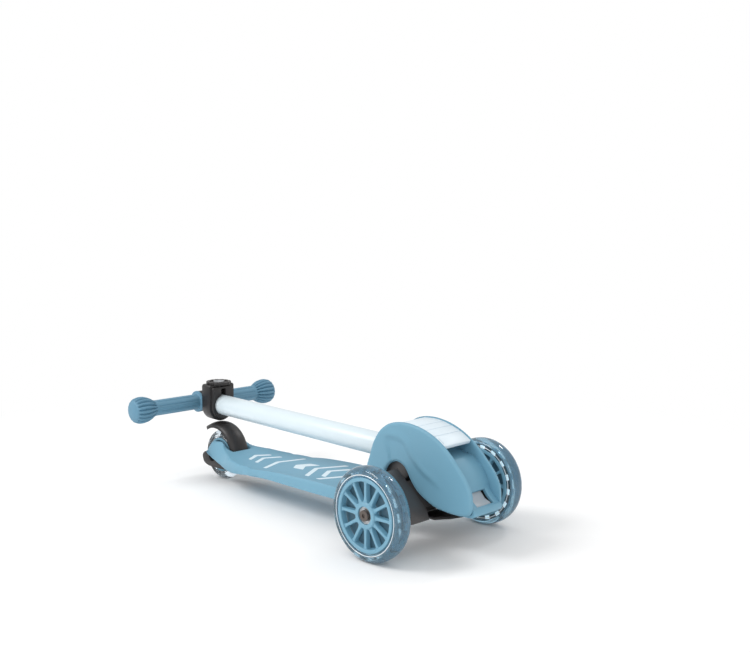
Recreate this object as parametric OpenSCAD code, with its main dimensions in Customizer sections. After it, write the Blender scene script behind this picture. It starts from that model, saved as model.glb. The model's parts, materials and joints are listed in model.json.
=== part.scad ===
// Folding three wheel kids scooter that steers by leaning, with its stem folded back over the deck.
// X points forward, Y to the rider's left and Z up. Sizes are in millimetres.

/* [Front wheels] */
// Radius of a front wheel over its tyre
front_r = 60; // [56:0.5:66]
// Width of a front tyre
front_w = 25; // [22:0.5:28]
// Distance between the centres of the front wheels
track = 221; // [205:1:240]
// Radius of the coloured rim under a front tyre
rim_r = 47; // [44:0.5:49]
// Thickness of that rim
rim_t = 5; // [3:0.5:8]
// Radius of a front hub
hub_r = 17; // [15:0.5:20]
// Number of spokes in a front wheel
spokes = 12; // [8:1:16]
// Width of one spoke
spoke_w = 4.5; // [3:0.5:6]
// Thickness of the web behind the spokes
web_t = 4; // [2:0.5:6]

/* [Rear wheel] */
// Radius of the rear wheel over its tyre
rear_r = 40; // [38:0.5:42]
// Width of the rear tyre
rear_w = 22; // [18:0.5:23]
// Radius of the rim under the rear tyre
rear_rim_r = 27; // [24:0.5:29]
// Distance between the front and rear axles
wheelbase = 449; // [430:1:500]

/* [Axles and bearings] */
// Radius of each wheel axle
axle_r = 4; // [3:0.25:4.5]
// Outer radius of a ball bearing
bearing_r = 11; // [10:0.5:12]
// Width of a ball bearing
bearing_w = 7; // [5:0.5:8]
// Space between the two bearings of a wheel
bearing_gap = 6.4; // [4:0.2:8]
// Radius of an axle bolt's head
bolt_head_r = 7; // [6:0.5:8]

/* [Lights] */
// Number of lamps in a front wheel
front_lamps = 16; // [8:1:18]
// Number of lamps in the rear wheel
back_lamps = 6; // [3:1:7]
// Angle of the first lamp in each wheel, in degrees
lamp_turn = 5.5; // [0:0.5:20]
// Width of a front lamp ring across the tyre
lamp_ring_w = 3.5; // [2.5:0.5:5]
// Thickness of a front lamp ring, outwards from the rim
lamp_ring_t = 6; // [4:0.5:6.5]
// Distance from a front lamp ring to the tyre's inner side
lamp_ring_in = 3; // [2:0.5:5]
// Length of a lamp along the tread
lamp_l = 8; // [6:0.5:10]

/* [Deck] */
// Thickness of the deck's skin
deck_skin = 4; // [2.5:0.5:6]
// Thickness of the deck's side walls
deck_wall = 5; // [3:0.5:7]
// Thickness of the ribs under the deck
rib_t = 3; // [2:0.5:4]
// Distance between the cross ribs
rib_step = 38; // [25:1:60]
// Half width of the slot for the rear wheel
slot_half = 18.3; // [17.5:0.1:19]

/* [Housing] */
// Distance from the middle to a cheek's inner face
cheek_in = 22; // [21:0.5:24]
// Thickness of a cheek
cheek_t = 9; // [7:0.5:11]
// Thickness of a cheek's plate, without its bosses
cheek_plate = 4.5; // [4:0.5:5.5]
// Half width of the window in the nose
window_half = 16; // [12:0.5:17]
// Length of the window along the slope of the nose
window_l = 21; // [18:0.5:22]
// Thickness of the cover under the nose
belly_t = 3; // [2:0.5:4]

/* [Fold joint] */
// Radius of the fold joint's drum
drum_r = 30; // [27:0.5:31]
// Half width of the drum
drum_half = 18; // [17:0.1:18]
// Radius of the fold pin
fold_pin_r = 4; // [3:0.25:5]
// Slope of the folded stem, rising to the rear, in degrees
stem_tilt = 1; // [0:0.25:1.5]

/* [Steering] */
// Slope of the steering axis, rising to the nose, in degrees
steer_a = 45; // [43:1:47]
// Radius of the steering bolt
steer_bolt_r = 4; // [3:0.25:5]
// Half length of the truck's boss on that bolt
boss_half = 12; // [10:0.5:13]
// Radius of the truck's boss
boss_r = 17; // [14:0.5:17]
// Thickness of a rubber steering pad
pad_t = 6; // [5:0.5:8]
// Radius of a rubber steering pad
pad_r = 14; // [11:0.5:15]
// Radius of the bush in the truck's boss
bush_r = 6; // [5.5:0.25:8]

/* [Stem and handlebar] */
// Radius of the stem's outer tube
tube_r = 16; // [15:0.25:17]
// Wall of the outer tube
tube_wall = 1.5; // [1:0.25:2]
// Radius of the sliding inner tube
inner_r = 12.5; // [11:0.25:13]
// Wall of the inner tube
inner_wall = 1.5; // [1:0.25:2.5]
// Length of the inner tube
inner_l = 296; // [220:1:330]
// Distance from the fold pin to the handlebar
bar_d = 458; // [440:1:500]
// Length of the tube clamp
clamp_l = 26; // [22:1:32]
// Half width of the tube clamp
clamp_half = 24; // [22:0.5:26]
// Height of the tube clamp's flat top over the tube's middle
clamp_top = 33.5; // [31:0.5:35]
// Radius of the height lock's knob
knob_wheel_r = 20; // [16:0.5:22]
// Height of that knob
knob_wheel_h = 3.6; // [3.4:0.2:6]
// Number of notches around that knob
knob_notches = 14; // [8:1:20]
// Radius of the handlebar tube
bar_r = 11; // [10:0.25:12]
// Half width of the handlebar over the grips
bar_half = 139; // [125:0.5:160]
// Radius of a grip
grip_r = 12.5; // [12.25:0.25:16]
// Radius of the knob on a grip's end
knob_r = 21; // [19:0.5:22]
// Number of flutes around a knob
flutes = 18; // [12:1:24]

/* [Rear brake] */
// Half width of the brake fender
fender_half = 17; // [16:0.1:18]
// Thickness of the brake fender
fender_t = 2.5; // [2:0.25:3]
// Gap between the brake pad and the tyre
brake_gap = 3; // [2.75:0.25:4]

/* [Release lever and catch] */
// Half width of the release lever
lever_half = 25.5; // [19:0.5:25.5]
// Thickness of the release lever
lever_t = 4; // [3:0.5:5]
// Radius of the lever's pin
lever_pin_r = 2; // [1.5:0.25:2.5]
// Half width of the safety catch
catch_half = 13.5; // [10:0.5:14]
// Radius of the catch's pin
catch_pin_r = 1.6; // [1.2:0.1:2]

/* [Hidden] */
$fn = 64;

// Clearances: fit between a pin and its hole, gap between faces that move past each other
fit = 0.05;
gap = 0.3;

// Colours as the photograph shows them
blue = "#7FA9C1";
black = "#2E2D2D";
white = "#E9EEF2";
steel = "#A9ADB0";
clear_blue = "#A9C4D2";
lamp_white = "#F7F9FB";
pale_grey = "#BFC6CB";
rubber = "#3A3B3C";

// Places in the front frame, whose origin is the middle of the front axle: x, z
pivot = [-45, 53];
lever_at = [-5, 85];
catch_at = [60, 28];
steer_at = [0, 4];
nose_x = 96;

// Places in the rear frame, whose origin is the middle of the rear axle: x, z
brake_at = [47.5, 6];
fender_mid = [-5.6, 0.9];

// Shift that puts the middle of the whole scooter over the origin
rear_x = pivot[0] - bar_d * cos(stem_tilt) - knob_r;
mid_x = -(nose_x + rear_x) / 2;

// Curves
function spline_point(p, i, t) =
    let (a = p[max(i - 1, 0)], b = p[i], c = p[i + 1], d = p[min(i + 2, len(p) - 1)])
    (2 * b + (c - a) * t + (2 * a - 5 * b + 4 * c - d) * t * t + (3 * b - a - 3 * c + d) * t * t * t) / 2;
function spline(p, steps = 4) =
    [for (i = [0 : len(p) - 2]) for (k = [0 : steps - 1]) spline_point(p, i, k / steps), p[len(p) - 1]];
function moved(p, by) = [for (q = p) q + by];

// Frames
module front() translate([mid_x, 0, front_r]) children();
module rear() translate([mid_x - wheelbase, 0, rear_r]) children();
module ground() translate([mid_x, 0, 0]) children();
module steering() front() translate([steer_at[0], 0, steer_at[1]]) rotate([0, 90 - steer_a, 0]) children();
module stem() front() translate([pivot[0], 0, pivot[1]]) rotate([0, stem_tilt, 0]) children();
module at_xz(p) translate([p[0], 0, p[1]]) children();
module both_sides() {
    children();
    mirror([0, 1, 0]) children();
}

// A side outline in x and z, made solid from y0 to y1
module side(points, y0, y1)
    translate([0, y1, 0]) rotate([90, 0, 0]) linear_extrude(y1 - y0) polygon(points);
// A round bar along y
module rod_y(y0, y1, r) translate([0, y0, 0]) rotate([-90, 0, 0]) cylinder(r = r, h = y1 - y0);
// A round bar in the stem's frame, from d0 to d1 along the stem
module rod_d(d0, d1, r) translate([-d1, 0, 0]) rotate([0, 90, 0]) cylinder(r = r, h = d1 - d0);
// A ring about the y axis
module ring_y(y0, y1, r0, r1)
    rotate([-90, 0, 0]) rotate_extrude() translate([r0, y0]) square([r1 - r0, y1 - y0]);
// A profile of radius and y, turned about the y axis
module turned(points) rotate([-90, 0, 0]) rotate_extrude() polygon(points);

// Wheels, each about its own centre with the axle along y
bearing_out = bearing_gap / 2 + bearing_w;
front_core_half = front_w / 2 - 0.5;
rear_core_half = rear_w / 2 - 0.5;
rear_hub_r = bearing_r + 3;
tread_h = 7;
// Front lamp ring across the tyre, from y0 to y1, on the side towards the scooter's middle
front_ring_y1 = front_w / 2 - lamp_ring_in;
front_ring_y0 = front_ring_y1 - lamp_ring_w;
lamp_edge = 0.8;
lamp_deep = 3;
// The rear lamp ring lies under its lamps
rear_ring_half = 7;
rear_ring_t = 2.2;
rear_lamp_half = 6;
rear_lamp_h = 3.6;

module hub_bore(half) {
    rod_y(-half - 1, half + 1, bearing_r - 1.5);
    both_sides() rod_y(bearing_gap / 2, half + 1, bearing_r + fit);
}

module tyre_shape(r, w, rim) {
    arc = [for (k = [0 : 16]) [r - tread_h + tread_h * sin(k * 11.25), -w / 2 * cos(k * 11.25)]];
    turned(concat([[rim + fit, -w / 2 + 1.5]], arc, [[rim + fit, w / 2 - 1.5]]));
}

// Lamps from radius r0 to r1 and from y0 to y1, grown by extra for their seats
module lamp_blocks(count, r0, r1, y0, y1, extra = 0) for (i = [0 : count - 1])
    rotate([0, lamp_turn + i * 360 / count, 0]) translate([r0 - extra, y0 - extra, -lamp_l / 2 - extra])
        cube([r1 - r0 + 2 * extra, y1 - y0 + 2 * extra, lamp_l + 2 * extra]);
module front_lamp_blocks(extra = 0)
    lamp_blocks(front_lamps, rim_r + lamp_edge, rim_r + lamp_ring_t - lamp_edge,
        front_ring_y0 - lamp_deep, front_ring_y1, extra);
module rear_lamp_blocks(extra = 0)
    lamp_blocks(back_lamps, rear_rim_r + rear_ring_t, rear_rim_r + rear_ring_t + rear_lamp_h,
        -rear_lamp_half, rear_lamp_half, extra);

module front_tyre() difference() {
    tyre_shape(front_r, front_w, rim_r);
    ring_y(front_ring_y0 - fit, front_ring_y1 + fit, rim_r - 1, rim_r + lamp_ring_t + fit);
    front_lamp_blocks(fit);
}
module front_lamp_ring() difference() {
    ring_y(front_ring_y0, front_ring_y1, rim_r + fit, rim_r + lamp_ring_t);
    front_lamp_blocks(fit);
}

module bearing_pair() both_sides() difference() {
    ring_y(bearing_gap / 2, bearing_out, axle_r + fit, bearing_r);
    ring_y(bearing_out - 0.5, bearing_out + 1, axle_r + 2.2, bearing_r - 1.8);
}

module wheel_core() difference() {
    union() {
        ring_y(-front_core_half, front_core_half, bearing_r - 2, hub_r);
        ring_y(-web_t / 2, web_t / 2, hub_r - 1, rim_r - 1);
        ring_y(-front_core_half, front_core_half, rim_r - rim_t, rim_r);
        for (i = [0 : spokes - 1])
            rotate([0, i * 360 / spokes, 0])
                translate([hub_r - 1, 2 - front_core_half, -spoke_w / 2])
                    cube([rim_r - rim_t - hub_r + 2, 2 * front_core_half - 4, spoke_w]);
    }
    hub_bore(front_core_half);
}

// Each front wheel is drawn as the right one, and the left one is its mirror image
module right_wheel() front() translate([0, -track / 2, 0]) children();
module left_wheel() mirror([0, 1, 0]) right_wheel() children();
module wheel_core_right() color(blue) right_wheel() wheel_core();
module wheel_core_left() color(blue) left_wheel() wheel_core();
module tyre_right() color(clear_blue, 0.6) right_wheel() front_tyre();
module tyre_left() color(clear_blue, 0.6) left_wheel() front_tyre();
module lamp_ring_right() color(blue) right_wheel() front_lamp_ring();
module lamp_ring_left() color(blue) left_wheel() front_lamp_ring();
module lamps_right() color(lamp_white) right_wheel() front_lamp_blocks();
module lamps_left() color(lamp_white) left_wheel() front_lamp_blocks();
module bearings_right() color(steel) right_wheel() bearing_pair();
module bearings_left() color(steel) left_wheel() bearing_pair();

module rear_core() color(blue) rear() difference() {
    union() {
        ring_y(-rear_core_half, rear_core_half, bearing_r - 2, rear_hub_r);
        ring_y(-web_t / 2, web_t / 2, rear_hub_r - 1, rear_rim_r - 1);
        ring_y(-rear_core_half, rear_core_half, rear_rim_r - 4, rear_rim_r);
    }
    hub_bore(rear_core_half);
}
module rear_tyre() color("#8D9499", 0.7) rear() difference() {
    tyre_shape(rear_r, rear_w, rear_rim_r);
    ring_y(-rear_ring_half - fit, rear_ring_half + fit, rear_rim_r - 1, rear_rim_r + rear_ring_t + fit);
    rear_lamp_blocks(fit);
}
module rear_lamp_ring() color(black) rear()
    ring_y(-rear_ring_half, rear_ring_half, rear_rim_r + fit, rear_rim_r + rear_ring_t - fit);
module rear_lamps() color(lamp_white) rear() rear_lamp_blocks();
module rear_bearings() color(steel) rear() bearing_pair();

// The sleeve with its magnet that stands on an axle between the bearings and lights the lamps
module magnet_sleeve() {
    reach = bearing_gap / 2 - 0.1;
    ring_y(-reach, reach, axle_r + fit, axle_r + 1.5);
    ring_y(-reach + 0.8, reach - 0.8, axle_r + 1, bearing_r - 2.5);
}
module rear_magnet() color(steel) rear() magnet_sleeve();
module front_magnets() color(steel) both_sides() right_wheel() magnet_sleeve();

// Front axles: each bolt enters from outside and is screwed into the truck
bolt_head_h = 2.8;
axle_in = track / 2 - front_w / 2 - 45;
truck_end = track / 2 - front_w / 2 - 2;
module front_axle_bolts() color(rubber) both_sides() front() difference() {
    union() {
        rod_y(axle_in, track / 2 + bearing_out + 0.1, axle_r);
        rod_y(track / 2 + bearing_out + 0.1, track / 2 + bearing_out + bolt_head_h, bolt_head_r);
    }
    translate([0, track / 2 + bearing_out + 1, 0]) rotate([-90, 0, 0]) cylinder(r = 2.9, h = 9, $fn = 6);
}
module axle_spacers() color(steel) both_sides() front()
    ring_y(truck_end, track / 2 - bearing_out - 0.1, axle_r + fit, axle_r + 2);

// Rear axle, bracket and deck
fork_out = slot_half - gap;
fork_in = rear_w / 2 + 1.7;
module rear_axle() color(steel) rear() {
    rod_y(-fork_out, fork_out, axle_r);
    rod_y(-fork_out - 3.5, -fork_out, bolt_head_r);
    rotate([0, 30, 0]) translate([0, fork_out, 0]) rotate([-90, 0, 0])
        cylinder(r = bolt_head_r, h = 4, $fn = 6);
}

// Height of the bracket's cross block behind and under the brake pin, and where it steps
block_top = 4;
block_low = 0;
block_step = 58;
// Lower edge of the deck's tail, which the black bracket follows
seam = [[75, -10], [40, -9.8], [15, -5], [-5, 1], [-21, 4.5]];
bracket_low = [[-21, 4], [-25.5, -1], [-24, -9], [-19, -14], [-5, -17], [30, -16.5], [79, -12.5]];
bracket_half = 27;
bracket_end = 79;
block_side = [[rear_r + 4, -16], [bracket_end, -12.5], [bracket_end, block_top], [block_step, block_top],
    [block_step, block_low]];
module rear_bracket() color(black) rear() difference() {
    union() {
        both_sides() side(concat(spline(bracket_low), [[bracket_end, block_top], [block_step, block_top],
            [block_step, block_low], [rear_r, block_low], [36, 6], [10, 14], [-10, 14], [-21, 4.5]]),
            fork_in, fork_out);
        both_sides() side(concat(spline(bracket_low), [[bracket_end, -10]], spline(seam)),
            fork_out - 1, bracket_half);
        side(concat(block_side, [[rear_r + 4, block_low]]), -bracket_half + 3, bracket_half - 3);
    }
    rod_y(-bracket_half - 1, bracket_half + 1, axle_r + fit);
    both_sides() rod_y(fork_out, bracket_half + 1, bolt_head_r + 1);
    for (p = bracket_screws) translate([p[0], p[1], -20]) {
        cylinder(r = screw_r + fit, h = 40);
        cylinder(r = screw_head_r + 0.5, h = 20 + screw_seat);
    }
}

// Deck outlines. The tail is placed from the rear axle and the rest from the front axle.
tail_top = [[-21, 4.5], [-19.5, 13], [-16, 20], [-9, 23.5], [3, 25], [15, 25.5], [21, 24], [27, 19.5],
    [34, 16], [45, 14], [60, 12.5], [75, 11.5], [90, 10.5]];
deck_top = [[-310, -9.5], [-260, -5.5], [-200, -2.5], [-140, -1.5], [-66, -1.5]];
deck_low = [[-66, -18], [-200, -18], [-300, -21]];
tail_low = [[75, -10]];
tail_plan = [[-22, 20], [-17, 25.5], [-8, 28.5], [10, 30.5], [35, 34.5], [60, 42], [90, 50], [120, 54.5]];
// Above its rim each flank of the tail leans in from this line
flank_a = 22;
flank_rim = [31, -1.5];
flank_plan = [[-24, 22], [-17, 25.5], [-8, 28.5], [10, 30.5], [35, 34.5], [60, 44], [80, 54], [100, 66]];
flank_beyond = [[100, 90], [-60, 90], [-60, -9]];
deck_plan = [[-290, 57.5], [-230, 59], [-150, 58.5], [-115, 56], [-92, 48], [-76, 38], [-66, 34]];

rear_at = [-wheelbase, rear_r];
front_at = [0, front_r];
deck_upper = spline(concat(moved(tail_top, rear_at), moved(deck_top, front_at)));
deck_lower = spline(concat(moved(deck_low, front_at), moved(tail_low, rear_at)));
deck_half = spline(concat(moved(tail_plan, [-wheelbase, 0]), deck_plan));
function plan_outline(inset) = concat([for (p = deck_half) [p[0], p[1] - inset]],
    [for (i = [len(deck_half) - 1 : -1 : 0]) [deck_half[i][0], inset - deck_half[i][1]]]);
deck_bottom_z = front_r - 18;
slot_end = 46;
// Lengths that pass right through the deck, across it, below it and above it
deck_across = 70;
deck_below = 40;
deck_above = 60;
hollow_back = rear_at[0] + 86;
hollow_front = -98;

module deck_hollow() intersection() {
    side(concat([for (p = deck_upper) p - [0, deck_skin]], [[-66, -50], [-wheelbase - 30, -50]]),
        -deck_across, deck_across);
    linear_extrude(2 * deck_above) polygon(plan_outline(deck_wall));
    translate([hollow_back, -deck_across, 0])
        cube([hollow_front - hollow_back, 2 * deck_across, 2 * deck_above]);
}

// The ribs leave room for the chassis tongue, and a flat pad stands between them
lug_half = 17;
lug_back = -150;
lug_wall = 4;
lug_top = -1.5 - deck_skin;
module deck_ribs() {
    for (x = [hollow_back + rib_step : rib_step : lug_back - lug_wall])
        translate([x, -deck_across, deck_bottom_z]) cube([rib_t, 2 * deck_across, deck_below]);
    both_sides() translate([hollow_back, lug_half + 1, deck_bottom_z])
        cube([hollow_front - hollow_back, rib_t, deck_below]);
    translate([lug_back - lug_wall, -lug_half - lug_wall, deck_bottom_z])
        cube([hollow_front - lug_back + lug_wall, 2 * (lug_half + lug_wall), deck_below]);
}

module deck_board() color(blue) difference() {
    ground() intersection() {
        side(concat(deck_upper, deck_lower, moved(spline(seam), rear_at)), -deck_across, deck_across);
        linear_extrude(2 * deck_above) polygon(plan_outline(0));
    }
    ground() difference() {
        deck_hollow();
        deck_ribs();
    }
    rear() both_sides() translate([0, flank_rim[0], flank_rim[1]]) rotate([flank_a, 0, 0])
        linear_extrude(deck_above)
            polygon(concat(moved(spline(flank_plan), [0, -flank_rim[0]]), flank_beyond));
    rear() translate([-deck_above, -slot_half, -deck_below])
        cube([deck_above + slot_end, 2 * slot_half, deck_below + deck_above]);
    rear() at_xz(brake_at) rod_y(-slot_half, slot_half, brake_boss_r + 0.7);
    rear() bracket_room(rear_r, block_step, block_low);
    rear() bracket_room(block_step, bracket_end + 1, block_top);
    rear() both_sides() translate([-bolt_head_r - 1.5, 0, -deck_below])
        cube([2 * bolt_head_r + 3, slot_half + 6, deck_below + bolt_head_r + 1]);
    rear() at_xz(brake_at) rod_y(-slot_half - 5, slot_half + 5, brake_pin_r + fit);
    front() translate([-92 - fit, -cheek_in - fit, -deck_below])
        cube([deck_above, 2 * (cheek_in + fit), deck_below + 20]);
    front() translate([lug_back - gap, -lug_half - gap, lug_top - deck_below])
        cube([deck_above, 2 * (lug_half + gap), deck_below]);
    front() for (p = lug_screws) translate([p[0], p[1], -30]) cylinder(r = screw_r, h = 27);
    rear() for (p = bracket_screws) translate([p[0], p[1], 0]) cylinder(r = screw_r, h = 10);
}
// Room for the bracket's cross block from x0 to x1, up to height z
module bracket_room(x0, x1, z) translate([x0, -bracket_half + 2, -deck_below])
    cube([x1 - x0, 2 * (bracket_half - 2), deck_below + z]);

// Screws that hold the deck to the chassis tongue and to the rear bracket, entered from below
screw_r = 2.4;
screw_head_r = 4.4;
screw_head_h = 2.6;
screw_seat = -8;
lug_low = -17;
lug_screws = [[-105, 10], [-105, -10], [-140, 10], [-140, -10]];
bracket_screws = [[66, 16], [66, -16]];
module screw_up(length) {
    cylinder(r = screw_r - fit, h = length);
    translate([0, 0, -screw_head_h]) difference() {
        cylinder(r = screw_head_r, h = screw_head_h);
        translate([0, 0, -1]) cylinder(r = 2.2, h = 2.4, $fn = 6);
    }
}
module deck_screws() color(steel) {
    front() for (p = lug_screws) translate([p[0], p[1], lug_low + 4]) screw_up(9.5);
    rear() for (p = bracket_screws) translate([p[0], p[1], screw_seat]) screw_up(17);
}

// Brake fender, hinged at its front end and sprung up
brake_pin_r = 2.5;
brake_boss_r = 5.2;
fender_r = 51.7;
fender_drop = 9;
fender_from = 10;
fender_to = 115;
tip_l = 12;
tip_round = 12;
fender_foot = [[41, 9], [41.3, 12], [44.6, 12], [45, 4], [41.8, 6]];
pad_from = 70;
pad_sweep = 36;
// Half of an oval across the fender, outside and inside, drawn in radius and y
function half_oval(rise, half, base) =
    [for (k = [0 : 16]) [base + rise * sin(k * 11.25), half * cos(k * 11.25)]];
module fender_arch(inset = 0) difference() {
    polygon(half_oval(fender_drop - inset, fender_half - inset, fender_r - fender_drop + inset));
    polygon(half_oval(fender_drop - fender_t + inset, fender_half - fender_t + inset,
        fender_r - fender_drop + inset - 0.01));
}
module brake_fender() color(black) rear() difference() {
    union() {
        at_xz(fender_mid) rotate([90, 0, 0]) rotate([0, 0, fender_from])
            rotate_extrude(angle = fender_to - fender_from) fender_arch();
        at_xz(fender_mid) rotate([90, 0, 0]) rotate([0, 0, fender_to]) intersection() {
            translate([0, -1, 0]) rotate([-90, 0, 0]) linear_extrude(tip_l + 1) fender_arch(0.05);
            rotate([0, 90, 0]) linear_extrude(fender_r + 1) union() {
                translate([-fender_half, -2]) square([2 * fender_half, tip_l - tip_round + 2]);
                translate([0, tip_l - tip_round]) scale([fender_half / tip_round, 1]) circle(r = tip_round);
            }
        }
        at_xz(brake_at) rod_y(-fender_half + gap, fender_half - gap, brake_boss_r);
        side(fender_foot, -fender_half + gap, fender_half - gap);
    }
    at_xz(brake_at) rod_y(-fender_half - 1, fender_half + 1, brake_pin_r + fit);
    at_xz(brake_at) rod_y(-6, 6, 6.5);
}
pad_half = 8;
pad_out = fender_r - fender_drop
    + (fender_drop - fender_t) * sqrt(1 - pow(pad_half / (fender_half - fender_t), 2)) - 0.1;
module brake_pad() color(steel) rear() difference() {
    at_xz(fender_mid) rotate([90, 0, 0]) rotate([0, 0, pad_from]) rotate_extrude(angle = pad_sweep)
        translate([pad_out - 8, -pad_half]) square([8, 2 * pad_half]);
    rod_y(-pad_half - 1, pad_half + 1, rear_r + brake_gap);
}
module brake_pin() color(steel) rear() at_xz(brake_at) rod_y(-slot_half - 4.5, slot_half + 4.5, brake_pin_r);
module brake_spring() color(steel) rear() at_xz(brake_at) ring_y(-5, 5, brake_pin_r + 0.2, brake_pin_r + 2);

// Chassis: carries the fold pin above, clasps the truck between two plates and reaches back into the deck
plate_s = boss_half + pad_t;
plate_t = 6;
frame_side = [[-92, -18], [-40, -23], [-7, -24], [30, 8], [33, 22], [14, 44], [-6, 60], [-20, 74], [-36, 80],
    [-52, 80], [-66, 70], [-81, 40], [-90, 15]];
tongue_half = 15;
module chassis_frame() color(black) difference() {
    union() {
        front() side(frame_side, -cheek_in, cheek_in);
        front() translate([lug_back, -lug_half, lug_low])
            cube([-90 - lug_back, 2 * lug_half, lug_top - lug_low]);
    }
    front() at_xz(pivot) rod_y(-drum_half - gap, drum_half + gap, drum_r + 1);
    front() translate([-130, -drum_half - gap, 36]) cube([116, 2 * (drum_half + gap), 80]);
    front() at_xz(pivot) rod_y(-cheek_in - 1, cheek_in + 1, fold_pin_r + fit);
    steering() translate([-31, -cheek_in - 1, -plate_s]) cube([90, 2 * cheek_in + 2, 2 * plate_s]);
    steering() both_sides() translate([-31, tongue_half, -70]) cube([90, 20, 71]);
    steering() translate([0, 0, -60]) cylinder(r = steer_bolt_r + fit, h = 120);
    steering() translate([0, 0, plate_s + plate_t]) cylinder(r = 8.5, h = 60);
    steering() translate([0, 0, -plate_s - plate_t - 60]) cylinder(r = 8.5, h = 60);
    front() for (p = long_screws) at_xz(p) rod_y(-cheek_in - 1, cheek_in + 1, long_screw_r + fit);
    front() for (p = lug_screws) translate([p[0], p[1], lug_low - 1]) cylinder(r = screw_r + fit, h = 20);
    front() for (p = lug_screws) translate([p[0], p[1], lug_low - 1]) cylinder(r = screw_head_r + 0.5, h = 5);
    front() translate([bumper_back - fit, -bumper_half - fit, bumper_low])
        cube([bumper_l + 2 * fit, 2 * (bumper_half + fit), 4]);
}
module steer_bolt() color(steel) steering() {
    translate([0, 0, -plate_s - plate_t - 9]) cylinder(r = steer_bolt_r, h = 2 * (plate_s + plate_t) + 9);
    translate([0, 0, plate_s + plate_t]) cylinder(r = 7, h = 5.5);
}
module steer_nut() color(steel) steering() translate([0, 0, -plate_s - plate_t - 7]) difference() {
    cylinder(r = 7.4, h = 7, $fn = 6);
    translate([0, 0, -1]) cylinder(r = steer_bolt_r + fit, h = 9);
}
module steer_pads() color("#5C6C74") steering() for (flip = [0, 1]) mirror([0, 0, flip])
    translate([0, 0, boss_half + gap]) difference() {
        cylinder(r = pad_r, h = pad_t - gap);
        translate([0, 0, -1]) cylinder(r = steer_bolt_r + 0.3, h = pad_t + 2);
    }

bumper_half = 8;
bumper_back = -92;
bumper_l = 16;
bumper_low = 33;
bumper_top = pivot[1] + (pivot[0] - bumper_back - bumper_l) * tan(stem_tilt) - tube_r / cos(stem_tilt) - gap;
module fold_bumper() color(rubber) front() translate([bumper_back, -bumper_half, bumper_low])
    cube([bumper_l, 2 * bumper_half, bumper_top - bumper_low]);

// Housing: two cheeks held by long screws that enter the left cheek. Bosses reach in from each cheek's plate.
cheek_out = cheek_in + cheek_t;
plate_in = cheek_out - cheek_plate;
long_screw_r = 2;
long_screws = [[52, 22], [20, 50], [-80, 8]];
cheek_curve = [[-95, -1.5], [-93, 15], [-89.5, 32], [-84, 47], [-78.5, 62.5], [-71, 75.5], [-62, 85.5],
    [-50, 93], [-35, 97.3], [-18, 98.6], [-2, 97.2], [12, 94.2], [27, 88.8], [39, 82.6], [51, 74.4], [61, 66],
    [71, 55.6], [80, 46], [87, 36], [91.3, 27], [92.7, 17], [92.5, 7], [90, 0.5], [84, -3.5], [76, -5],
    [64, -5.5], [50, -5], [39, -4], [29, -2], [19.5, 1.5], [9, 6.5], [0, 12.5], [-7, 19.5], [-12.6, 27],
    [-17, 34], [-22, 40], [-29, 44], [-37, 45], [-46, 41], [-53, 33], [-59, 20], [-63, 8], [-64.5, -1.5]];
module cheek() difference() {
    union() {
        side(spline(cheek_curve), plate_in, cheek_out);
        at_xz(pivot) rod_y(cheek_in, plate_in + 1, fold_pin_r + 5);
        at_xz(lever_at) rod_y(cheek_in, plate_in + 1, lever_pin_r + 2.4);
        at_xz(catch_at) rod_y(cheek_in, plate_in + 1, catch_pin_r + 3);
        for (p = long_screws) at_xz(p) rod_y(cheek_in, plate_in + 1, long_screw_r + 3.5);
    }
    at_xz(pivot) rod_y(cheek_in - 1, cheek_in + 3, fold_pin_r + fit);
    at_xz(lever_at) rod_y(cheek_in - 1, cheek_in + 3, lever_pin_r + fit);
    at_xz(catch_at) rod_y(cheek_in - 1, cheek_in + 3, catch_pin_r + fit);
}
module housing_right() color(blue) front() mirror([0, 1, 0]) difference() {
    cheek();
    for (p = long_screws) at_xz(p) rod_y(cheek_in - 1, cheek_in + 5, long_screw_r);
}
module housing_left() color(blue) front() difference() {
    cheek();
    for (p = long_screws) at_xz(p) rod_y(cheek_in - 1, cheek_out + 1, long_screw_r + fit);
    for (p = long_screws) at_xz(p) rod_y(cheek_out - 3.2, cheek_out + 1, 3.8);
}
module housing_screws() color(steel) front() for (p = long_screws) at_xz(p) difference() {
    union() {
        rod_y(-cheek_in - 4.8, cheek_out - 3.2, long_screw_r - fit);
        rod_y(cheek_out - 3.2, cheek_out - 0.6, 3.6);
    }
    translate([0, cheek_out - 2.2, 0]) rotate([-90, 0, 0]) cylinder(r = 1.7, h = 4, $fn = 6);
}
module fold_pin() color(steel) front() at_xz(pivot) rod_y(-cheek_in - 2.8, cheek_in + 2.8, fold_pin_r);

// Channel between the cheeks, its window and the chin under it
window_at = [83, 14.5];
channel_curve = [[16, 74], [20, 67], [30, 62], [44, 59.5], [50, 57.5], [57, 52.5], [64, 46], [70, 38],
    [74, 29.5], [76, 22], [83, 13.5], [91, 6.5]];
chin_curve = [[91, 6.5], [94.5, 5], [nose_x, 1], [94, -3], [88, -5], [78, -5.5], [64, -5.5]];
inner_curve = [[64, -2.5], [80, -2.3], [87, -1.5], [90.5, 0.5], [91, 3], [88, 5], [80, 11], [73, 19],
    [70, 28], [66.5, 36], [61, 43], [54, 49.5], [47, 54.5], [42, 56], [28, 58.5], [18, 63.5], [12.5, 72]];
module nose_channel() color(blue) front() difference() {
    side(concat(spline(channel_curve), spline(chin_curve), spline(inner_curve)), -plate_in, plate_in);
    at_xz(window_at) rotate([0, 45, 0]) cube([window_l, 2 * window_half, 14], center = true);
}
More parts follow.
